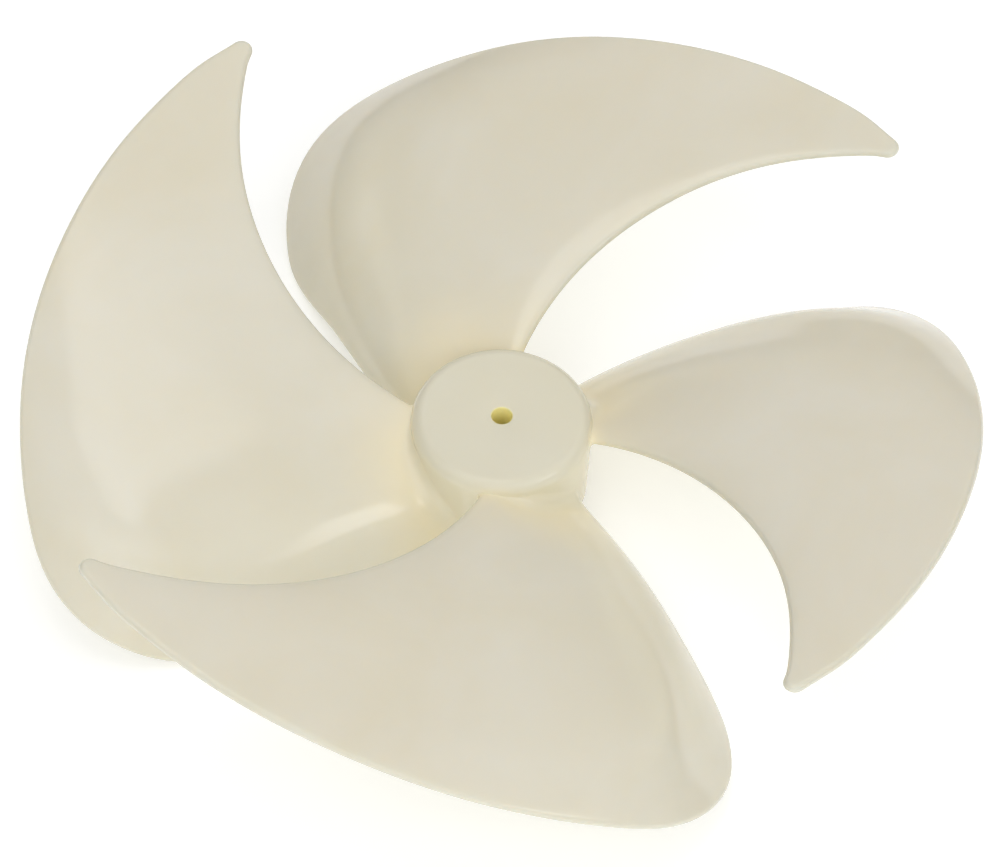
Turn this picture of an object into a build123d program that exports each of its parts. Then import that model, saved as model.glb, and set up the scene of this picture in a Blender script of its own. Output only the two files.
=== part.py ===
from build123d import *
import os
from math import sin, cos, radians, hypot, tanh

# Axial fan impeller, injection moulded in one piece: a shallow cup-shaped hub with a
# central shaft boss, and four forward-swept sickle blades that are cambered and twisted.
# Frame: +Z is the shaft axis and points to the closed (inlet) side of the hub.
# The origin is the centre of the bore's mouth on the hub's flat top face.
# All dimensions are millimetres and degrees.

# ---- hub ----
HUB_R = 14.05            # outer radius at the top
HUB_BOTTOM_R = 13.65     # outer radius at the open rim (draft)
HUB_DEPTH = 16.3         # top face to open rim
HUB_EDGE_R = 2.0         # rounded top edge
HUB_TOP_T = 2.2          # thickness of the closed top
HUB_WALL_T = 1.8         # thickness of the cup's wall
CUP_FILLET_R = 0.8       # inside corner between top and wall
BORE_R = 1.5875          # 1/8 in shaft
BOSS_R = 4.0             # shaft boss inside the cup
BOSS_DEPTH = 15.3        # the boss ends a little inside the open rim
BOSS_LEAD = 0.4          # chamfer at the boss's mouth
RIB_COUNT = 4
RIB_T = 1.2              # radial ribs between boss and wall
RIB_DEPTH = 11.0         # how far down the ribs reach

# ---- blades ----
BLADES = 4
BLADE_T = 1.5            # thickness away from the root
EDGE_R = 0.6             # rounding of the blade's edges
ROOT_FLARE = 1.2         # how much each side of the blade thickens into the hub
ROOT_REACH = 5.5         # how far out the root flare reaches
UNIT = 74.0              # length that the sweep line below is given in
SWEEP_0 = 177.4          # the sweep line: angle = SWEEP_0 - SWEEP_1 * r / UNIT
SWEEP_1 = 52.4

# Height of the blade's middle surface: one row for each radius, one column for each
# angle behind the sweep line.
STATION_R = [12, 20, 28, 36, 44, 52, 60, 68, 75.4]
STATION_A = [-7, 0, 8, 16, 24, 32, 40, 48, 56, 64, 72, 80]
HEIGHT = [
    [-4.98, -3.33, -3.11, -3.92, -5.07, -6.31, -7.56, -8.73, -9.84, -10.93, -12.07, -13.66],
    [-2.57, -0.88, -0.42, -0.93, -1.84, -2.96, -4.29, -5.81, -7.78, -10.57, -14.66, -21.69],
    [0.00, 1.66, 2.15, 1.71, 0.86, -0.28, -1.68, -3.40, -5.82, -9.49, -15.11, -25.23],
    [2.70, 4.26, 4.66, 4.13, 3.18, 1.97, 0.48, -1.33, -3.88, -7.78, -13.85, -25.33],
    [5.52, 6.94, 7.15, 6.43, 5.32, 3.98, 2.42, 0.61, -1.85, -5.57, -11.34, -23.00],
    [8.41, 9.66, 9.65, 8.71, 7.42, 5.94, 4.31, 2.52, 0.22, -3.10, -8.20, -19.32],
    [11.33, 12.29, 12.05, 10.94, 9.51, 7.91, 6.16, 4.26, 1.96, -1.11, -5.55, -15.38],
    [14.23, 14.70, 14.24, 13.10, 11.64, 9.93, 7.94, 5.65, 2.92, -0.40, -4.63, -12.28],
    [16.86, 16.61, 15.98, 15.00, 13.66, 11.87, 9.50, 6.45, 2.72, -1.60, -6.39, -11.13],
]

# Plan outline of the blade, as (radius, angle).
LEADING_EDGE = [(11.2, 170.3), (13.96, 168.52), (18.71, 165.29), (23.67, 161.81), (28.41, 158.47),
                (33.36, 154.96), (38.10, 151.58), (43.06, 148.03), (48.02, 144.45), (52.75, 140.95),
                (57.70, 137.16), (62.43, 133.36), (67.39, 129.35), (69.64, 127.56), (71.12, 126.32), (71.92, 125.48), (73.57, 123.78)]
TIP_APEX = (76.53, 121.05)   # where the two edges would meet
TIP_ROUND_R = 1.7
OUTER_EDGE = [(74.97, 126.48), (74.81, 131.37), (74.25, 136.95), (73.68, 144.90), (73.30, 153.27), (73.15, 161.92),
              (73.37, 170.54), (73.68, 178.32), (73.87, 184.84), (74.01, 190.01), (74.09, 193.99),
              (74.11, 197.12), (73.94, 199.86), (73.43, 202.56), (72.45, 205.28), (70.44, 208.63),
              (67.46, 211.81), (63.67, 214.75), (59.57, 217.23), (55.59, 219.25), (51.09, 220.9),
              (45.37, 222.6), (41.30, 223.8), (35.42, 226.2), (25.95, 231.9), (19.5, 238.3), (14.26, 247.0),
              (11.6, 252.5)]


def natural_spline(xs, ys):
    """Natural cubic spline through (xs, ys), straight beyond its ends."""
    n = len(xs)
    h = [xs[i + 1] - xs[i] for i in range(n - 1)]
    a, b, c, d = [0.0] * n, [1.0] * n, [0.0] * n, [0.0] * n
    for i in range(1, n - 1):
        a[i], b[i], c[i] = h[i - 1], 2 * (h[i - 1] + h[i]), h[i]
        d[i] = 6 * ((ys[i + 1] - ys[i]) / h[i] - (ys[i] - ys[i - 1]) / h[i - 1])
    for i in range(1, n):
        w = a[i] / b[i - 1]
        b[i] -= w * c[i - 1]
        d[i] -= w * d[i - 1]
    m = [0.0] * n
    m[-1] = d[-1] / b[-1]
    for i in range(n - 2, -1, -1):
        m[i] = (d[i] - c[i] * m[i + 1]) / b[i]

    def value(x):
        if x <= xs[0]:
            s = (ys[1] - ys[0]) / h[0] - h[0] * (2 * m[0] + m[1]) / 6
            return ys[0] + s * (x - xs[0])
        if x >= xs[-1]:
            s = (ys[-1] - ys[-2]) / h[-1] + h[-1] * (m[-2] + 2 * m[-1]) / 6
            return ys[-1] + s * (x - xs[-1])
        i = max(k for k in range(n - 1) if xs[k] <= x)
        t, u = x - xs[i], xs[i + 1] - x
        return ((m[i] * u ** 3 + m[i + 1] * t ** 3) / (6 * h[i])
                + (ys[i] / h[i] - m[i] * h[i] / 6) * u + (ys[i + 1] / h[i] - m[i + 1] * h[i] / 6) * t)
    return value


COLUMNS = [natural_spline(STATION_R, [row[j] for row in HEIGHT]) for j in range(len(STATION_A))]
_rows = {}


def height(r, ang):
    """Height of the blade's middle surface at radius r and polar angle ang in degrees."""
    key = round(r, 6)
    if key not in _rows:
        _rows[key] = natural_spline(STATION_A, [col(r) for col in COLUMNS])
    return _rows[key](ang - (SWEEP_0 - SWEEP_1 * r / UNIT))


def mid_point(r, ang):
    return Vector(r * cos(radians(ang)), r * sin(radians(ang)), height(r, ang))


def mid_normal(r, ang):
    e = 0.02
    du = mid_point(r + e, ang) - mid_point(r - e, ang)
    dv = mid_point(r, ang + e) - mid_point(r, ang - e)
    n = du.cross(dv).normalized()
    return n if n.Z > 0 else n * -1


def smooth_step(t):
    t = min(1.0, max(0.0, t))
    return t * t * t * (10 + t * (6 * t - 15))


def half_thickness(r, ang, side):
    """Half the blade's thickness, with a soft concave flare into the hub. The flare fades
    out at the top of the leading edge and at the bottom of the trailing edge, where the
    blade is close to the hub's own rims."""
    behind = ang - (SWEEP_0 - SWEEP_1 * r / UNIT)
    d = (r - HUB_R) / ROOT_REACH
    near = max(0.0, 1 - d) ** 3 if d > 0 else 1 + 0.6 * tanh(-5 * d)
    if side > 0:
        fade = smooth_step((behind - 4) / 28)
    else:
        fade = smooth_step((76 - behind) / 28)
    return BLADE_T / 2 + ROOT_FLARE * near * fade


def surface_grid(side):
    """Points on the upper (side 1) or lower (side -1) surface of the oversize blade blank."""
    radii = [12.0 + 63.4 * i / 31 for i in range(32)]
    angles = [-6.5 + 91.5 * j / 36 for j in range(37)]
    grid = []
    for r in radii:
        row = []
        for a in angles:
            ang = a + SWEEP_0 - SWEEP_1 * r / UNIT
            row.append(mid_point(r, ang) + mid_normal(r, ang) * (side * half_thickness(r, ang, side)))
        grid.append(row)
    return grid


def polar(r, ang):
    return (r * cos(radians(ang)), r * sin(radians(ang)))


def blade_blank():
    top = Face.make_surface_from_array_of_points(surface_grid(1), tol=0.01, min_deg=3, max_deg=5)
    bottom = Face.make_surface_from_array_of_points(surface_grid(-1), tol=0.01, min_deg=3, max_deg=5)
    sides = []
    for e in top.edges():
        partner = min(bottom.edges(), key=lambda b: (b.position_at(0.5) - e.position_at(0.5)).length)
        sides.append(Face.make_surface_from_curves(e, partner))
    return Solid(Shell([top, bottom] + sides))


def planform_wire():
    """Closed plan outline of the blade, with its leading and outer edges run out to a point."""
    lead = Spline(*[polar(*p) for p in LEADING_EDGE], polar(*TIP_APEX))
    outer = Spline(polar(*TIP_APEX), *[polar(*p) for p in OUTER_EDGE])
    root = Line(polar(*OUTER_EDGE[-1]), polar(*LEADING_EDGE[0]))
    return Wire([lead, outer, root])


def planform():
    """Plan outline of the blade with its small round tip."""
    face = Face(planform_wire())
    x, y = polar(*TIP_APEX)
    return face.fillet_2d(TIP_ROUND_R, [v for v in face.vertices() if hypot(v.X - x, v.Y - y) < 0.01])


def blade():
    """One blade, trimmed to its planform and rounded along its free edges, with its root end
    buried in the hub's wall."""
    prism = Solid.extrude(planform().translate((0, 0, -40)), (0, 0, 80))
    solid = (blade_blank() & prism).solids()[0]
    free = [e for e in solid.edges() if hypot((e @ 0.5).X, (e @ 0.5).Y) > 20 and e.geom_type != GeomType.LINE]
    return solid.fillet(EDGE_R, free)


def revolved(points):
    """Solid of revolution about Z from (radius, height) corners."""
    edges = [Line((points[i][0], 0, points[i][1]), (points[(i + 1) % len(points)][0], 0, points[(i + 1) % len(points)][1]))
             for i in range(len(points))]
    return Solid.revolve(Face(Wire(edges)), 360, Axis.Z)


def hub_body():
    """The hub as a plug, with its rounded top edge and drafted side."""
    e = HUB_EDGE_R
    slope = (HUB_R - HUB_BOTTOM_R) / (HUB_DEPTH - e)
    top = Line((0, 0, 0), (HUB_R - e, 0, 0))
    edge = ThreePointArc((HUB_R - e, 0, 0), (HUB_R - e + e * 0.70711, 0, -e + e * 0.70711), (HUB_R, 0, -e))
    side = Line((HUB_R, 0, -e), (HUB_R - slope * (HUB_DEPTH - e), 0, -HUB_DEPTH))
    base = Line((HUB_BOTTOM_R, 0, -HUB_DEPTH), (0, 0, -HUB_DEPTH))
    axis = Line((0, 0, -HUB_DEPTH), (0, 0, 0))
    return Solid.revolve(Face(Wire([top, edge, side, base, axis])), 360, Axis.Z)


def hub_cavity():
    """What is hollow inside the hub: the ring between wall and boss, less the ribs, and the
    step from the boss's end to the open rim."""
    f, deep = CUP_FILLET_R, HUB_DEPTH + 12
    r_out, r_rim = HUB_R - HUB_WALL_T - 0.15, HUB_BOTTOM_R - HUB_WALL_T + 0.25
    r_low = r_rim + (r_rim - r_out) * 12 / (HUB_DEPTH - HUB_TOP_T)
    ring = revolved([(BOSS_R, -HUB_TOP_T), (r_out, -HUB_TOP_T), (r_low, -deep), (BOSS_R, -deep)])
    ring = ring.fillet(f, [e for e in ring.edges() if abs(e.center().Z + HUB_TOP_T) < 1e-3 and e.geom_type == GeomType.CIRCLE])
    ribs = []
    for k in range(RIB_COUNT):
        rib = Solid.make_box(r_out + 2, RIB_T, RIB_DEPTH + 5).translate((0, -RIB_T / 2, -RIB_DEPTH))
        ribs.append(rib.rotate(Axis.Z, 45 + 360 / RIB_COUNT * k))
    for rib in ribs:
        ring = ring - rib
    step = revolved([(0, -BOSS_DEPTH), (BOSS_R + 0.5, -BOSS_DEPTH), (BOSS_R + 0.5, -deep), (0, -deep)])
    return ring, step


def impeller():
    one = blade()
    body = hub_body().fuse(*[one.rotate(Axis.Z, 360 / BLADES * k) for k in range(BLADES)])
    ring, step = hub_cavity()
    bore = Solid.make_cylinder(BORE_R, HUB_DEPTH + 10).translate((0, 0, -HUB_DEPTH - 5))
    return body.cut(ring, step, bore)


if __name__ == "__main__":
    os.makedirs("parts", exist_ok=True)
    part = impeller()
    solids = part.solids()
    box = part.bounding_box()
    print("solids", len(solids), "valid", part.is_valid, "volume", round(part.volume, 1))
    print("box", box.min, box.max)
    export_step(solids[0] if len(solids) == 1 else part, "parts/impeller.step")
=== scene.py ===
import math

import bmesh
import bpy
import numpy as np
from mathutils import Matrix, Vector
from mathutils.bvhtree import BVHTree


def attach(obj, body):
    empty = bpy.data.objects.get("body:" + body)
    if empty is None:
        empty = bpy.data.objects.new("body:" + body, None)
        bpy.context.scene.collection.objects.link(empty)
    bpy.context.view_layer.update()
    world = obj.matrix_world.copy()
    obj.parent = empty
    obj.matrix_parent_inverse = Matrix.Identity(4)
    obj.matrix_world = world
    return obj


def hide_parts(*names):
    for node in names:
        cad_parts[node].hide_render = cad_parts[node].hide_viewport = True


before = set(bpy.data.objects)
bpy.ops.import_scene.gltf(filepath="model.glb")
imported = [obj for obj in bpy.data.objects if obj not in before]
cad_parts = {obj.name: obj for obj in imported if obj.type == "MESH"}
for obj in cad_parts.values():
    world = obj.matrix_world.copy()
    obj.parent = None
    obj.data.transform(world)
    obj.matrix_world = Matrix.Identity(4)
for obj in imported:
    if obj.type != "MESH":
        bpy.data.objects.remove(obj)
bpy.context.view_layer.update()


# ---------------------------------------------------------------- helpers
def rotation(elevation, roll):
    """Rows are the camera's right, down and forward axes in the row frame."""
    s, c = math.sin(math.radians(elevation)), math.cos(math.radians(elevation))
    cr, sr = math.cos(math.radians(roll)), math.sin(math.radians(roll))
    tilt = Matrix(((1, 0, 0), (0, -s, -c), (0, c, -s)))
    return Matrix(((cr, -sr, 0), (sr, cr, 0), (0, 0, 1))) @ tilt


def soft_box(name, azimuth, elevation, distance, size, radiance, colour=(1, 1, 1)):
    """A rectangular lamp on a sphere round the object, facing it. Radiance is in the same
    units as the world's brightness."""
    a, e = math.radians(azimuth), math.radians(elevation)
    place = Vector((math.cos(e) * math.cos(a), math.cos(e) * math.sin(a), math.sin(e))) * distance
    data = bpy.data.lights.new(name, "AREA")
    data.shape = "RECTANGLE"
    data.size, data.size_y = size
    data.energy = radiance * math.pi * size[0] * size[1]
    data.color = colour
    lamp = bpy.data.objects.new(name, data)
    bpy.context.scene.collection.objects.link(lamp)
    lamp.location = place
    lamp.rotation_euler = (-place).to_track_quat("-Z", "Y").to_euler()
    return lamp


# ---------------------------------------------------------------- camera
U = 0.074
R = rotation(52.39, 2.04)
T = Vector((0.0039, -0.0373, 9.718)) * U
eye = -(R.transposed() @ T)
cam_data = bpy.data.cameras.new("camera")
cam_data.sensor_fit = "HORIZONTAL"
cam_data.sensor_width = 36
cam_data.lens = 4672 * 36 / 1000
cam_data.clip_start = 0.05
cam_data.clip_end = 20
camera = bpy.data.objects.new("camera", cam_data)
bpy.context.scene.collection.objects.link(camera)
right, up, back = R[0], -R[1], -R[2]
camera.matrix_world = Matrix((
    (right[0], up[0], back[0], eye[0]),
    (right[1], up[1], back[1], eye[1]),
    (right[2], up[2], back[2], eye[2]),
    (0, 0, 0, 1)))
bpy.context.scene.camera = camera

# ---------------------------------------------------------------- blade surface (millimetres and degrees)
HUB_R, HUB_BOTTOM_R, HUB_DEPTH, HUB_EDGE = 14.05, 13.65, 16.3, 2.0
BLADE_HALF = 0.75
ROOT_FILLET, EDGE_FILLET = 3.2, 0.9
STATION_R = np.array([12, 20, 28, 36, 44, 52, 60, 68, 75.4])
STATION_A = np.array([-7, 0, 8, 16, 24, 32, 40, 48, 56, 64, 72, 80.0])
HEIGHT = np.array([
    [-4.98, -3.33, -3.11, -3.92, -5.07, -6.31, -7.56, -8.73, -9.84, -10.93, -12.07, -13.66],
    [-2.57, -0.88, -0.42, -0.93, -1.84, -2.96, -4.29, -5.81, -7.78, -10.57, -14.66, -21.69],
    [0.00, 1.66, 2.15, 1.71, 0.86, -0.28, -1.68, -3.40, -5.82, -9.49, -15.11, -25.23],
    [2.70, 4.26, 4.66, 4.13, 3.18, 1.97, 0.48, -1.33, -3.88, -7.78, -13.85, -25.33],
    [5.52, 6.94, 7.15, 6.43, 5.32, 3.98, 2.42, 0.61, -1.85, -5.57, -11.34, -23.00],
    [8.41, 9.66, 9.65, 8.71, 7.42, 5.94, 4.31, 2.52, 0.22, -3.10, -8.20, -19.32],
    [11.33, 12.29, 12.05, 10.94, 9.51, 7.91, 6.16, 4.26, 1.96, -1.11, -5.55, -15.38],
    [14.23, 14.70, 14.24, 13.10, 11.64, 9.93, 7.94, 5.65, 2.92, -0.40, -4.63, -12.28],
    [16.86, 16.61, 15.98, 15.00, 13.66, 11.87, 9.50, 6.45, 2.72, -1.60, -6.39, -11.13]])
LEADING_EDGE = [(11.2, 170.3), (13.96, 168.52), (18.71, 165.29), (23.67, 161.81), (28.41, 158.47),
                (33.36, 154.96), (38.10, 151.58), (43.06, 148.03), (48.02, 144.45), (52.75, 140.95),
                (57.70, 137.16), (62.43, 133.36), (67.39, 129.35), (69.64, 127.56), (71.12, 126.32),
                (71.92, 125.48), (73.57, 123.78), (76.53, 121.05)]
OUTER_EDGE = [(76.53, 121.05), (74.97, 126.48), (74.81, 131.37), (74.25, 136.95), (73.68, 144.90),
              (73.30, 153.27), (73.15, 161.92), (73.37, 170.54), (73.68, 178.32), (73.87, 184.84),
              (74.01, 190.01), (74.09, 193.99), (74.11, 197.12), (73.94, 199.86), (73.43, 202.56),
              (72.45, 205.28), (70.44, 208.63), (67.46, 211.81), (63.67, 214.75), (59.57, 217.23),
              (55.59, 219.25), (51.09, 220.9), (45.37, 222.6), (41.30, 223.8), (35.42, 226.2),
              (25.95, 231.9), (19.5, 238.3), (14.26, 247.0), (11.6, 252.5)]
TIP_CENTRE, TIP_R, TIP_ARC = (-43.365, 59.076), 1.70, (-18.1, 130.46)


def spline_moments(xs):
    """Matrix that turns the values at xs into a natural cubic spline's second derivatives."""
    n = len(xs)
    h = np.diff(xs)
    a, b = np.eye(n), np.zeros((n, n))
    for i in range(1, n - 1):
        a[i, i - 1:i + 2] = h[i - 1], 2 * (h[i - 1] + h[i]), h[i]
        b[i, i - 1:i + 2] = 6 / h[i - 1], -6 / h[i - 1] - 6 / h[i], 6 / h[i]
    return np.linalg.solve(a, b)


def spline_value(xs, y, m, x):
    """Natural cubic spline with values y and second derivatives m (last axis) at the points x,
    straight beyond its ends."""
    i = np.clip(np.searchsorted(xs, x, side="right") - 1, 0, len(xs) - 2)
    h = xs[i + 1] - xs[i]
    t = np.clip(x, xs[0], xs[-1]) - xs[i]
    u = h - t
    pick = lambda v, k: v[k] if v.ndim == 1 else np.take_along_axis(v, k[..., None], -1)[..., 0]
    y0, y1, m0, m1 = pick(y, i), pick(y, i + 1), pick(m, i), pick(m, i + 1)
    inside = (m0 * u ** 3 + m1 * t ** 3) / (6 * h) + (y0 / h - m0 * h / 6) * u + (y1 / h - m1 * h / 6) * t
    slope = (m1 * t ** 2 - m0 * u ** 2) / (2 * h) + (y1 - y0) / h - (m1 - m0) * h / 6
    return inside + slope * (x - np.clip(x, xs[0], xs[-1]))


MOMENTS_R, MOMENTS_A = spline_moments(STATION_R), spline_moments(STATION_A)


def behind(r, ang):
    return ang - (177.4 - 52.4 * r / 74.0)


def height(r, ang):
    cols = np.stack([spline_value(STATION_R, HEIGHT[:, j], MOMENTS_R @ HEIGHT[:, j], r)
                     for j in range(len(STATION_A))], -1)
    return spline_value(STATION_A, cols, cols @ MOMENTS_A.T, behind(r, ang))


def on_surface(r, ang, z=None):
    a = np.radians(ang)
    return np.stack([r * np.cos(a), r * np.sin(a), height(r, ang) if z is None else z], -1)


def normals(r, ang):
    e = 0.05
    du = on_surface(r + e, ang) - on_surface(r - e, ang)
    dv = on_surface(r, ang + e) - on_surface(r, ang - e)
    n = np.cross(du, dv)
    n /= np.linalg.norm(n, axis=-1, keepdims=True)
    return np.where(n[..., 2:] < 0, -n, n)


def smooth_min(a, b, k=0.5):
    return -k * np.log(np.exp(-a / k) + np.exp(-b / k))


def wall_radius(z):
    """Radius of the hub's outside at height z: rounded top edge, then a slight draft."""
    edge = HUB_R - HUB_EDGE + np.sqrt(np.clip(HUB_EDGE ** 2 - np.clip(z + HUB_EDGE, 0, HUB_EDGE) ** 2, 0, None))
    side = HUB_R - (HUB_R - HUB_BOTTOM_R) * (-z - HUB_EDGE) / (HUB_DEPTH - HUB_EDGE)
    return np.where(z > -HUB_EDGE, edge, side)


def ease(t):
    t = np.clip(t, 0.0, 1.0)
    return t * t * (3 - 2 * t)


def fillet_size(ang, side):
    """Radius of the root fillet at the polar angle ang, and the radius at which it meets the
    hub. It is smaller where the blade is close to the hub's own edges and at its own edges."""
    r0 = np.full_like(ang, HUB_R + 0.4)
    z_root = height(r0, ang)
    psi = behind(r0, ang)
    if side > 0:
        room, fade = -1.1 - (z_root + 0.85), (0.25 + 0.75 * ease((82 - psi) / 16)) * (0.38 + 0.62 * ease((psi - 1) / 9))
    else:
        room, fade = (z_root - 0.85) + HUB_DEPTH - 0.35, 0.28 + 0.72 * ease((psi - 1) / 14)
    rho = smooth_min(np.full_like(room, ROOT_FILLET), np.maximum(room, 0.0) + 0.3, 0.35) * fade
    rho = np.maximum(rho, 0.15)
    return rho, wall_radius(z_root + side * (0.85 + rho)) - 0.045


def root_fillet(r, ang, side):
    """Extra half thickness where the blade runs into the hub's wall: a round fillet."""
    rho, wall = fillet_size(ang, side)
    d = np.clip(r - wall, 0.0, None)
    drop = np.clip(rho - d, 0.0, None)
    return np.where(d >= rho, 0.0, rho - np.sqrt(np.maximum(rho ** 2 - drop ** 2, 0.0)))


def edge_flare(r, ang):
    """How far the blade's edge spreads along the hub's wall where it runs into it."""
    wall = wall_radius(height(np.full_like(ang, HUB_R + 0.4), ang)) - 0.045
    drop = np.clip(EDGE_FILLET - np.clip(r - wall, 0.0, None), 0.0, None)
    return EDGE_FILLET - np.sqrt(EDGE_FILLET ** 2 - drop ** 2)


def curve_through(points, step):
    """Dense points on a cubic spline through plan points given as (radius, angle)."""
    p = np.array([(r * math.cos(math.radians(a)), r * math.sin(math.radians(a))) for r, a in points])
    s = np.r_[0, np.cumsum(np.linalg.norm(np.diff(p, axis=0), axis=1))]
    k = spline_moments(s)
    t = np.arange(0, s[-1], step)
    return np.stack([spline_value(s, p[:, i], k @ p[:, i], t) for i in (0, 1)], -1)


def inset(p, distance):
    """The plan curve p moved to its left by distance."""
    d = np.gradient(p, axis=0)
    d /= np.linalg.norm(d, axis=1, keepdims=True)
    return p + distance * np.stack([-d[:, 1], d[:, 0]], -1)


def at_lengths(p, s):
    length = np.r_[0, np.cumsum(np.linalg.norm(np.diff(p, axis=0), axis=1))]
    return np.stack([np.interp(s, length, p[:, i]) for i in (0, 1)], -1), length[-1]


def trim_arc(p, keep_before):
    """Cuts the dense curve p where it reaches the tip's round."""
    c = np.array(TIP_CENTRE)
    a = math.radians(TIP_ARC[0] if keep_before else TIP_ARC[1])
    touch = c + TIP_R * np.array([math.cos(a), math.sin(a)])
    k = int(np.argmin(np.linalg.norm(p - touch, axis=1)))
    return p[:k] if keep_before else p[k + 1:]


def outline():
    """The two inset edge curves in plan, each from the hub to the middle of the tip."""
    c = np.array(TIP_CENTRE)
    mid = sum(TIP_ARC) / 2

    def arc(a0, a1):
        a = np.radians(np.linspace(a0, a1, 60))
        return c + (TIP_R - BLADE_HALF) * np.stack([np.cos(a), np.sin(a)], -1)
    lead = inset(trim_arc(curve_through(LEADING_EDGE, 0.05), True), BLADE_HALF)
    far = inset(trim_arc(curve_through(OUTER_EDGE, 0.05), False), BLADE_HALF)
    lead = np.vstack([lead, arc(TIP_ARC[0], mid - 12)])
    far = np.vstack([arc(mid + 12, TIP_ARC[1]), far])[::-1]
    return lead, far


def from_radius(p, r):
    """First point on the dense curve p at radius r, as an arc length from its start."""
    rr = np.linalg.norm(p, axis=1)
    k = int(np.argmax(rr >= r))
    length = np.r_[0, np.cumsum(np.linalg.norm(np.diff(p, axis=0), axis=1))]
    return float(np.interp(r, [rr[k - 1], rr[k]], [length[k - 1], length[k]])) if k > 0 else 0.0


ROOT_IN = 13.1


def blade_rows(columns):
    """Plan positions of the blade's grid as radius and angle: rows run from the leading edge
    to the outer and trailing edge, from inside the hub's wall out to the tip."""
    lead, far = outline()
    near = HUB_R + np.array([-0.5, -0.2, -0.03, 0.0, 0.05, 0.14, 0.28, 0.46, 0.7, 1.0, 1.35, 1.75, 2.2, 2.7, 3.25])
    mids = np.linspace(HUB_R + 3.9, 50, 30)
    radii = np.r_[ROOT_IN, near[near > ROOT_IN], mids]
    _, total_lead = at_lengths(lead, np.array([0.0]))
    _, total_far = at_lengths(far, np.array([0.0]))
    s_lead = [from_radius(lead, r) for r in radii]
    s_far = [from_radius(far, r) for r in radii]
    u = np.linspace(0, 1, 104)[1:]
    step_lead = s_lead[-1] - s_lead[-2]
    step_far = s_far[-1] - s_far[-2]
    w = 1 - (1 - u) ** 1.35
    s_lead = np.r_[s_lead, s_lead[-1] + (total_lead - s_lead[-1]) * w]
    s_far = np.r_[s_far, s_far[-1] + (total_far - s_far[-1]) * w]
    a, _ = at_lengths(lead, s_lead)
    b, _ = at_lengths(far, s_far)
    ra, rb = np.linalg.norm(a, axis=1), np.linalg.norm(b, axis=1)
    ta = np.degrees(np.arctan2(a[:, 1], a[:, 0])) % 360
    tb = np.degrees(np.arctan2(b[:, 1], b[:, 0])) % 360
    t = np.linspace(0, 1, columns)
    r = ra[:, None] + (rb - ra)[:, None] * t
    ang = ta[:, None] + (tb - ta)[:, None] * t
    return r, ang


def blade_mesh(columns=47, round_steps=8):
    """Vertices (millimetres) and faces of one closed blade."""
    r, ang = blade_rows(columns)
    n, mid = normals(r, ang), on_surface(r, ang)
    near = ease((HUB_R + 3.9 - r) / 3.9)

    def at_radius(p, target, weight):
        # moves points straight in or out until they stand at the target radius
        k = 1 + weight * (target / np.hypot(p[..., 0], p[..., 1]) - 1)
        return p * np.stack([k, k, np.ones_like(k)], -1)

    def skin(side):
        # rows close to the hub follow its wall, and the fillet stands straight up from the blade
        rs = r + (fillet_size(ang, side)[1] - HUB_R) * near
        half = normals(rs, ang) * BLADE_HALF
        p = on_surface(rs, ang) + side * (half + np.array([0, 0, 1.0]) * root_fillet(rs, ang, side)[..., None])
        return at_radius(p, rs, near), rs
    (top, r_top), (low, r_low) = skin(1), skin(-1)
    rows, cols = r.shape
    verts = [top.reshape(-1, 3), low.reshape(-1, 3)]
    count = 2 * rows * cols
    T = lambda i, j: i * cols + j
    L = lambda i, j: rows * cols + i * cols + j
    faces = []
    for i in range(rows - 1):
        for j in range(cols - 1):
            faces.append((T(i, j), T(i + 1, j), T(i + 1, j + 1), T(i, j + 1)))
            faces.append((L(i, j), L(i, j + 1), L(i + 1, j + 1), L(i + 1, j)))
    # the loop round the free edges: out along the leading edge, over the tip, back along the far edge
    loop = [(i, 0) for i in range(rows)] + [(rows - 1, j) for j in range(1, cols - 1)] + [(i, cols - 1) for i in range(rows - 1, -1, -1)]
    I, J = np.array(loop).T
    P, N = mid[I, J], n[I, J]
    along = np.gradient(P, axis=0)
    # one-sided at the two corners of the last row
    along /= np.linalg.norm(along, axis=1, keepdims=True)
    out = np.cross(along, N)
    out /= np.linalg.norm(out, axis=1, keepdims=True)
    centre_hint = mid[rows // 2, cols // 2]
    if np.dot(out[rows // 2], P[rows // 2] - centre_hint) < 0:
        out = -out
    a, b = top[I, J] - P, low[I, J] - P
    away = np.where(J == 0, -1.0, np.where(J == cols - 1, 1.0, 0.0))
    ring = []
    for k in range(1, round_steps):
        f = math.pi * k / round_steps
        c, s = math.cos(f), math.sin(f)
        rk = r_top[I, J] * (1 + c) / 2 + r_low[I, J] * (1 - c) / 2
        spread = np.degrees(away * edge_flare(rk, ang[I, J]) / rk)
        p = on_surface(r[I, J], ang[I, J] + spread * s) + out * BLADE_HALF * s + (a * c if c >= 0 else b * -c)
        ring.append(at_radius(p, rk, near[I, J]))
    start = count
    for layer in ring:
        verts.append(layer)
    m = len(loop)
    count += m * len(ring)

    def rim(k, i):
        if k == 0:
            return T(*loop[i])
        if k == round_steps:
            return L(*loop[i])
        return start + (k - 1) * m + i
    for k in range(round_steps):
        for i in range(m - 1):
            faces.append((rim(k, i), rim(k + 1, i), rim(k + 1, i + 1), rim(k, i + 1)))
    # close the end inside the hub's wall
    end = [T(0, j) for j in range(cols)] + [rim(k, m - 1) for k in range(1, round_steps)] \
        + [L(0, j) for j in range(cols - 1, -1, -1)] + [rim(k, 0) for k in range(round_steps - 1, 0, -1)]
    faces.append(tuple(end))
    return np.vstack(verts), faces


# ---------------------------------------------------------------- hub
BORE_R, BOSS_R, BOSS_END, WALL_IN, TOP_T = 1.5875, 4.0, 15.3, 12.1, 2.2


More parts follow.
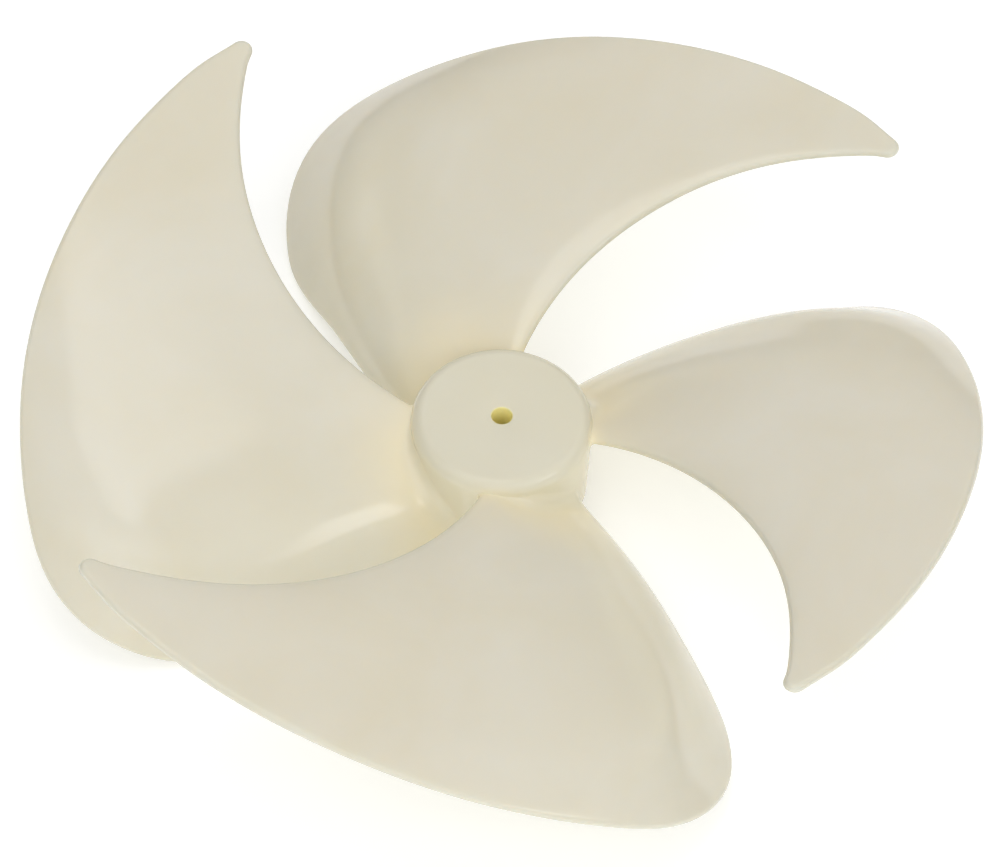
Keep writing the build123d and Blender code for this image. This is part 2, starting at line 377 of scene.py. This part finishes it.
def corner(p, q, s, radius, steps):
    """Points of the round that replaces corner q between p and s in a profile."""
    p, q, s = (np.array(v, float) for v in (p, q, s))
    a, b = (p - q) / np.linalg.norm(p - q), (s - q) / np.linalg.norm(s - q)
    half = math.acos(max(-1, min(1, float(a @ b)))) / 2
    reach = radius / math.tan(half)
    mid = (a + b) / np.linalg.norm(a + b)
    c = q + mid * radius / math.sin(half)
    start, end = q + a * reach - c, q + b * reach - c
    a0, a1 = math.atan2(start[1], start[0]), math.atan2(end[1], end[0])
    turn = (a1 - a0 + math.pi) % (2 * math.pi) - math.pi
    return [tuple(c + radius * np.array([math.cos(a0 + turn * k / steps), math.sin(a0 + turn * k / steps)]))
            for k in range(steps + 1)]


def profile(corners):
    """Closed profile from (radius, height, rounding, steps) corners."""
    out = []
    n = len(corners)
    for i in range(n):
        p, q, s = corners[i - 1], corners[i], corners[(i + 1) % n]
        if q[2] > 0:
            out += corner(p[:2], q[:2], s[:2], q[2], q[3])
        else:
            out.append(q[:2])
    return out


def lathe(points, around):
    n = len(points)
    verts = [(r * math.cos(2 * math.pi * k / around), r * math.sin(2 * math.pi * k / around), z)
             for k in range(around) for r, z in points]
    faces = []
    for k in range(around):
        m = (k + 1) % around
        for i in range(n):
            j = (i + 1) % n
            faces.append((k * n + i, k * n + j, m * n + j, m * n + i))
    return np.array(verts), faces


def hub_profile():
    d = HUB_DEPTH
    return profile([
        (BORE_R, 0.0, 0.22, 4),
        (HUB_R - 6.0, 0.0, 0, 0),
        (HUB_R - 2.6, 0.0, 0, 0),
        (HUB_R, 0.0, HUB_EDGE, 14),
        *[(float(wall_radius(np.array(z))), z, 0, 0) for z in np.arange(-2.6, -15.7, -0.65).round(3).tolist()],
        (HUB_BOTTOM_R, -d, 0.3, 4),
        (WALL_IN, -d, 0.3, 4),
        *[(WALL_IN, z, 0, 0) for z in np.arange(-15.6, -3.2, 0.9).round(3).tolist()],
        (WALL_IN, -TOP_T, 0.8, 6),
        *[(r, -TOP_T, 0, 0) for r in np.arange(11.0, 4.9, -0.9).round(3).tolist()],
        (BOSS_R, -TOP_T, 0.8, 6),
        *[(BOSS_R, z, 0, 0) for z in np.arange(-3.3, -14.7, -0.9).round(3).tolist()],
        (BOSS_R, -BOSS_END, 0.4, 4),
        (BORE_R, -BOSS_END, 0.4, 3)])


# ---------------------------------------------------------------- Blender meshes
def make_object(name, verts, faces):
    mesh = bpy.data.meshes.new(name)
    mesh.from_pydata([tuple(v) for v in np.asarray(verts) * 0.001], [], faces)
    mesh.validate()
    obj = bpy.data.objects.new(name, mesh)
    bpy.context.scene.collection.objects.link(obj)
    return obj


def outward(obj):
    """Makes the closed mesh's faces point outwards."""
    bm = bmesh.new()
    bm.from_mesh(obj.data)
    bmesh.ops.recalc_face_normals(bm, faces=bm.faces)
    bm.to_mesh(obj.data)
    bm.free()


def apply_modifiers(obj):
    graph = bpy.context.evaluated_depsgraph_get()
    mesh = bpy.data.meshes.new_from_object(obj.evaluated_get(graph))
    obj.modifiers.clear()
    old, obj.data = obj.data, mesh
    bpy.data.meshes.remove(old)


def unite(base, others):
    for other in others:
        mod = base.modifiers.new("join", "BOOLEAN")
        mod.operation, mod.solver, mod.object = "UNION", "MANIFOLD", other
        apply_modifiers(base)
        bpy.data.objects.remove(other)


def tidy(obj, shortest=0.000002):
    """Leaves one clean closed skin: no slivers, no many-sided faces, no doubled faces, nothing loose."""
    bm = bmesh.new()
    bm.from_mesh(obj.data)
    bmesh.ops.dissolve_degenerate(bm, dist=shortest, edges=bm.edges)
    bmesh.ops.triangulate(bm, faces=[f for f in bm.faces if len(f.verts) > 4], ngon_method="EAR_CLIP")
    bmesh.ops.dissolve_degenerate(bm, dist=shortest, edges=bm.edges)
    bm.verts.index_update()
    same = {}
    for f in bm.faces:
        same.setdefault(frozenset(v.index for v in f.verts), []).append(f)
    bmesh.ops.delete(bm, geom=[f for group in same.values() if len(group) > 1 for f in group], context="FACES_ONLY")
    bmesh.ops.delete(bm, geom=[e for e in bm.edges if not e.link_faces], context="EDGES")
    bmesh.ops.delete(bm, geom=[v for v in bm.verts if not v.link_edges], context="VERTS")
    bm.to_mesh(obj.data)
    bm.free()


def rib(index):
    """One radial rib between the boss and the cup's wall, its lower edges rounded."""
    r0, r1, half, z0, z1 = BOSS_R - 0.6, WALL_IN + 0.6, 0.6, -TOP_T + 0.5, -11.0
    section = [(-half - 0.12, z0), (-half, z1 + 0.3), (-half + 0.09, z1 + 0.09), (-half + 0.3, z1),
               (half - 0.3, z1), (half - 0.09, z1 + 0.09), (half, z1 + 0.3), (half + 0.12, z0)]
    a = math.radians(45 + 90 * index)
    c, s = math.cos(a), math.sin(a)
    verts = [(r * c - y * s, r * s + y * c, z) for r in (r0, r1) for y, z in section]
    n = len(section)
    faces = [tuple(range(n)), tuple(range(2 * n - 1, n - 1, -1))]
    faces += [(i, i + n, (i + 1) % n + n, (i + 1) % n) for i in range(n)]
    return make_object(f"rib_{index}", verts, faces)


def moulding():
    hub = make_object("fan", *lathe(hub_profile(), 144))
    outward(hub)
    v, f = blade_mesh()
    parts = []
    for k in range(4):
        parts.append(rib(k))
        outward(parts[-1])
    for k in range(4):
        a = math.radians(90 * k)
        turn = np.array([[math.cos(a), -math.sin(a), 0], [math.sin(a), math.cos(a), 0], [0, 0, 1]])
        blade = make_object(f"blade_{k}", v @ turn.T, f)
        outward(blade)
        parts.append(blade)
    unite(hub, parts)
    tidy(hub)
    mesh = hub.data
    mesh.shade_smooth()
    mesh.set_sharp_from_angle(angle=math.radians(40))
    return hub


def crease_shade(obj, reach=0.022, rays=20, passes=8):
    """Stores on each vertex how closed in it is, from 0 in the open to 1 in a deep corner; the material paints warm
    shade into creases with it.
    """
    mesh = obj.data
    tree = BVHTree.FromPolygons([v.co for v in mesh.vertices], [tuple(p.vertices) for p in mesh.polygons])
    n = len(mesh.vertices)
    co, no = np.empty(n * 3), np.empty(n * 3)
    mesh.vertices.foreach_get("co", co)
    mesh.vertices.foreach_get("normal", no)
    co, no = co.reshape(-1, 3), no.reshape(-1, 3)
    side = np.where(np.abs(no[:, 2:]) < 0.9, [[0.0, 0.0, 1.0]], [[1.0, 0.0, 0.0]])
    u = np.cross(side, no)
    u /= np.maximum(np.linalg.norm(u, axis=1, keepdims=True), 1e-9)
    v = np.cross(no, u)
    start = co + no * 0.00006
    closed = np.zeros(n)
    for k in range(rays):
        # evenly spread directions, more of them near the normal
        s2 = (k + 0.5) / rays
        a = k * 2.399963
        d = (u * math.cos(a) + v * math.sin(a)) * math.sqrt(s2) + no * math.sqrt(1 - s2)
        for i in range(n):
            if tree.ray_cast(start[i], d[i], reach)[0] is not None:
                closed[i] += 1
    closed /= rays
    edges = np.empty(len(mesh.edges) * 2, dtype=np.int64)
    mesh.edges.foreach_get("vertices", edges)
    a, b = edges.reshape(-1, 2).T
    count = np.bincount(a, minlength=n) + np.bincount(b, minlength=n)
    for _ in range(passes):
        near = np.bincount(a, closed[b], n) + np.bincount(b, closed[a], n)
        closed = 0.5 * closed + 0.5 * near / np.maximum(count, 1)
    mesh.attributes.new("crease_shade", "FLOAT", "POINT").data.foreach_set("value", closed.astype(np.float32))


# ---------------------------------------------------------------- material
def ivory_plastic():
    """Cream moulded plastic: slightly translucent, satin; its colour carries painted warm shade in creases and under
    the hub's top, a warmer tone near the hub where the plastic is thicker, and a painted glow in the bore.
    """
    mat = bpy.data.materials.new("ivory_moulding")
    mat.use_nodes = True
    nodes, links = mat.node_tree.nodes, mat.node_tree.links
    b = nodes["Principled BSDF"]
    b.subsurface_method = "BURLEY"
    b.inputs["IOR"].default_value = 1.49
    b.inputs["Subsurface Weight"].default_value = 0.45
    b.inputs["Subsurface Radius"].default_value = (1.0, 0.72, 0.38)
    b.inputs["Subsurface Scale"].default_value = 0.0032

    def node(kind, **inputs):
        n = nodes.new(kind)
        for k, v in inputs.items():
            if k in n.inputs:
                n.inputs[k].default_value = v
            else:
                setattr(n, k, v)
        return n

    where = node("ShaderNodeTexCoord")
    # warmth near the axis: partly the yellower, thicker plastic of the hub and the blades' roots, partly painted warm
    # shade round the roots
    apart = node("ShaderNodeSeparateXYZ")
    links.new(where.outputs["Object"], apart.inputs[0])
    xx = node("ShaderNodeMath", operation="MULTIPLY")
    yy = node("ShaderNodeMath", operation="MULTIPLY")
    for n, axis in ((xx, "X"), (yy, "Y")):
        links.new(apart.outputs[axis], n.inputs[0])
        links.new(apart.outputs[axis], n.inputs[1])
    rr = node("ShaderNodeMath", operation="ADD")
    links.new(xx.outputs[0], rr.inputs[0])
    links.new(yy.outputs[0], rr.inputs[1])
    radius = node("ShaderNodeMath", operation="SQRT")
    links.new(rr.outputs[0], radius.inputs[0])
    root = node("ShaderNodeMapRange", interpolation_type="SMOOTHSTEP")
    root.inputs["From Min"].default_value = 0.0145
    root.inputs["From Max"].default_value = 0.0300
    root.inputs["To Min"].default_value = 1.0
    root.inputs["To Max"].default_value = 0.0
    links.new(radius.outputs[0], root.inputs["Value"])
    # painted shade: the stored closed-in measure turns creases and corners a warmer yellow, as if in shade
    crease_shade = node("ShaderNodeAttribute", attribute_type="GEOMETRY", attribute_name="crease_shade")
    closed = node("ShaderNodeMapRange", interpolation_type="SMOOTHSTEP")
    closed.inputs["From Min"].default_value = 0.05
    closed.inputs["From Max"].default_value = 0.65
    closed.inputs["To Min"].default_value = 0.0
    closed.inputs["To Max"].default_value = 1.0
    links.new(crease_shade.outputs["Fac"], closed.inputs["Value"])

    # colour: broad mottling from the melt's flow, faint fine speckle
    flow = node("ShaderNodeTexNoise", noise_dimensions="3D")
    flow.inputs["Scale"].default_value = 38.0
    flow.inputs["Detail"].default_value = 3.0
    flow.inputs["Roughness"].default_value = 0.55
    flow.inputs["Distortion"].default_value = 0.6
    links.new(where.outputs["Object"], flow.inputs["Vector"])
    ramp = node("ShaderNodeValToRGB")
    ramp.color_ramp.elements[0].position = 0.30
    ramp.color_ramp.elements[0].color = (0.742, 0.716, 0.583, 1)
    ramp.color_ramp.elements[1].position = 0.72
    ramp.color_ramp.elements[1].color = (0.765, 0.757, 0.660, 1)
    links.new(flow.outputs["Fac"], ramp.inputs["Fac"])
    warm = node("ShaderNodeMix", data_type="RGBA", blend_type="MIX")
    tint_and_shade_amount = node("ShaderNodeMath", operation="MAXIMUM")
    root_tint_and_shade = node("ShaderNodeMath", operation="MULTIPLY")
    root_tint_and_shade.inputs[1].default_value = 0.75
    crease_shade_part = node("ShaderNodeMath", operation="MULTIPLY")
    crease_shade_part.inputs[1].default_value = 0.7
    # painted shade: the root's warmth is full below the hub's top and weaker on its lit top face
    below = node("ShaderNodeMapRange", interpolation_type="SMOOTHSTEP")
    below.inputs["From Min"].default_value = -0.0030
    below.inputs["From Max"].default_value = -0.0002
    below.inputs["To Min"].default_value = 1.0
    below.inputs["To Max"].default_value = 0.60
    links.new(apart.outputs["Z"], below.inputs["Value"])
    under = node("ShaderNodeMath", operation="MULTIPLY")
    links.new(root.outputs["Result"], under.inputs[0])
    links.new(below.outputs["Result"], under.inputs[1])
    links.new(under.outputs[0], root_tint_and_shade.inputs[0])
    links.new(closed.outputs["Result"], crease_shade_part.inputs[0])
    links.new(root_tint_and_shade.outputs[0], tint_and_shade_amount.inputs[0])
    links.new(crease_shade_part.outputs[0], tint_and_shade_amount.inputs[1])
    links.new(tint_and_shade_amount.outputs[0], warm.inputs[0])
    links.new(ramp.outputs["Color"], warm.inputs[6])
    # this warm yellow paints both the thicker roots' tone and the shade in creases and below the hub's top
    warm.inputs[7].default_value = (0.860, 0.790, 0.565, 1)
    # painted light: a clear yellow base colour round the bore stands in for light shining through its thin skin
    bore = node("ShaderNodeMapRange", interpolation_type="SMOOTHSTEP")
    bore.inputs["From Min"].default_value = 0.0016
    bore.inputs["From Max"].default_value = 0.0018
    bore.inputs["To Min"].default_value = 1.0
    bore.inputs["To Max"].default_value = 0.0
    links.new(radius.outputs[0], bore.inputs["Value"])
    clear = node("ShaderNodeMix", data_type="RGBA", blend_type="MIX")
    links.new(bore.outputs["Result"], clear.inputs[0])
    links.new(warm.outputs[2], clear.inputs[6])
    clear.inputs[7].default_value = (0.97, 0.90, 0.42, 1)
    links.new(clear.outputs[2], b.inputs["Base Color"])

    # gloss: satin, with slow variation
    patch = node("ShaderNodeTexNoise")
    patch.inputs["Scale"].default_value = 45.0
    patch.inputs["Detail"].default_value = 1.0
    links.new(where.outputs["Object"], patch.inputs["Vector"])
    gloss = node("ShaderNodeMapRange")
    gloss.inputs["To Min"].default_value = 0.11
    gloss.inputs["To Max"].default_value = 0.16
    links.new(patch.outputs["Fac"], gloss.inputs["Value"])
    links.new(gloss.outputs["Result"], b.inputs["Roughness"])

    # bump: fine tool texture and very shallow sink waves
    fine = node("ShaderNodeTexNoise")
    fine.inputs["Scale"].default_value = 1500.0
    fine.inputs["Detail"].default_value = 3.0
    links.new(where.outputs["Object"], fine.inputs["Vector"])
    grain = node("ShaderNodeBump")
    grain.inputs["Strength"].default_value = 0.05
    grain.inputs["Distance"].default_value = 0.00004
    links.new(fine.outputs["Fac"], grain.inputs["Height"])
    slow = node("ShaderNodeTexNoise")
    slow.inputs["Scale"].default_value = 30.0
    slow.inputs["Detail"].default_value = 1.0
    links.new(where.outputs["Object"], slow.inputs["Vector"])
    wave = node("ShaderNodeBump")
    wave.inputs["Strength"].default_value = 0.22
    wave.inputs["Distance"].default_value = 0.00035
    links.new(slow.outputs["Fac"], wave.inputs["Height"])
    links.new(grain.outputs["Normal"], wave.inputs["Normal"])
    links.new(wave.outputs["Normal"], b.inputs["Normal"])
    return mat


fan = moulding()
crease_shade(fan)
fan.data.materials.clear()
fan.data.materials.append(ivory_plastic())
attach(fan, "root")
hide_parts("impeller")

# ---------------------------------------------------------------- studio
scene = bpy.context.scene
scene.view_settings.view_transform = "Standard"
scene.view_settings.look = "None"
world = bpy.data.worlds.new("studio")
scene.world = world
world.use_nodes = True
wt = world.node_tree
backdrop = wt.nodes["Background"]
backdrop.inputs["Color"].default_value = (1.0, 1.0, 1.0, 1)

# a pale tent round the object: broad soft lobes as (azimuth, elevation, brightness)
TENT = [(-90, 52, 1.05), (-30, 52, 0.30), (30, 52, 0.63), (90, 52, 0.90), (210, 52, 0.86),
        (-90, 14, 1.33), (90, 14, 0.51)]
sky = wt.nodes.new("ShaderNodeTexCoord")
total = None
for azimuth, elevation, brightness in TENT:
    a, e = math.radians(azimuth), math.radians(elevation)
    towards = wt.nodes.new("ShaderNodeVectorMath")
    towards.operation = "DOT_PRODUCT"
    towards.inputs[1].default_value = (math.cos(e) * math.cos(a), math.cos(e) * math.sin(a), math.sin(e))
    wt.links.new(sky.outputs["Generated"], towards.inputs[0])
    facing = wt.nodes.new("ShaderNodeMath")
    facing.operation = "MAXIMUM"
    facing.inputs[1].default_value = 0.0
    wt.links.new(towards.outputs["Value"], facing.inputs[0])
    lobe = wt.nodes.new("ShaderNodeMath")
    lobe.operation = "POWER"
    lobe.inputs[1].default_value = 8.0
    wt.links.new(facing.outputs[0], lobe.inputs[0])
    add = wt.nodes.new("ShaderNodeMath")
    add.operation = "MULTIPLY_ADD"
    add.inputs[1].default_value = brightness
    add.inputs[2].default_value = 0.0
    wt.links.new(lobe.outputs[0], add.inputs[0])
    if total is not None:
        wt.links.new(total, add.inputs[2])
    total = add.outputs[0]
wt.links.new(total, backdrop.inputs["Strength"])
soft_box("side_box", -34.5, 37, 1.0, (0.42, 0.27), 2.8)
soft_box("top_box", 150, 84, 1.0, (0.42, 0.42), 1.56)

FLOOR_Z = min(v.co.z for v in fan.data.vertices)
mesh = bpy.data.meshes.new("floor")
s = 3.0
mesh.from_pydata([(-s, -s, FLOOR_Z), (s, -s, FLOOR_Z), (s, s, FLOOR_Z), (-s, s, FLOOR_Z)], [], [(0, 1, 2, 3)])
floor = bpy.data.objects.new("floor", mesh)
scene.collection.objects.link(floor)
paper = bpy.data.materials.new("paper")
paper.use_nodes = True
pb = paper.node_tree.nodes["Principled BSDF"]
pb.inputs["Base Color"].default_value = (0.90, 0.90, 0.895, 1)
pb.inputs["Roughness"].default_value = 0.9
pb.inputs["Specular IOR Level"].default_value = 0.1
pb.inputs["Emission Color"].default_value = (1, 1, 1, 1)
pb.inputs["Emission Strength"].default_value = 0.36
# seen from underneath, the floor lets the fan's underside show
pn, pl = paper.node_tree.nodes, paper.node_tree.links
face = pn.new("ShaderNodeNewGeometry")
clear_back = pn.new("ShaderNodeBsdfTransparent")
choose = pn.new("ShaderNodeMixShader")
pl.new(face.outputs["Backfacing"], choose.inputs[0])
pl.new(pb.outputs[0], choose.inputs[1])
pl.new(clear_back.outputs[0], choose.inputs[2])
pl.new(choose.outputs[0], pn["Material Output"].inputs["Surface"])
mesh.materials.append(paper)
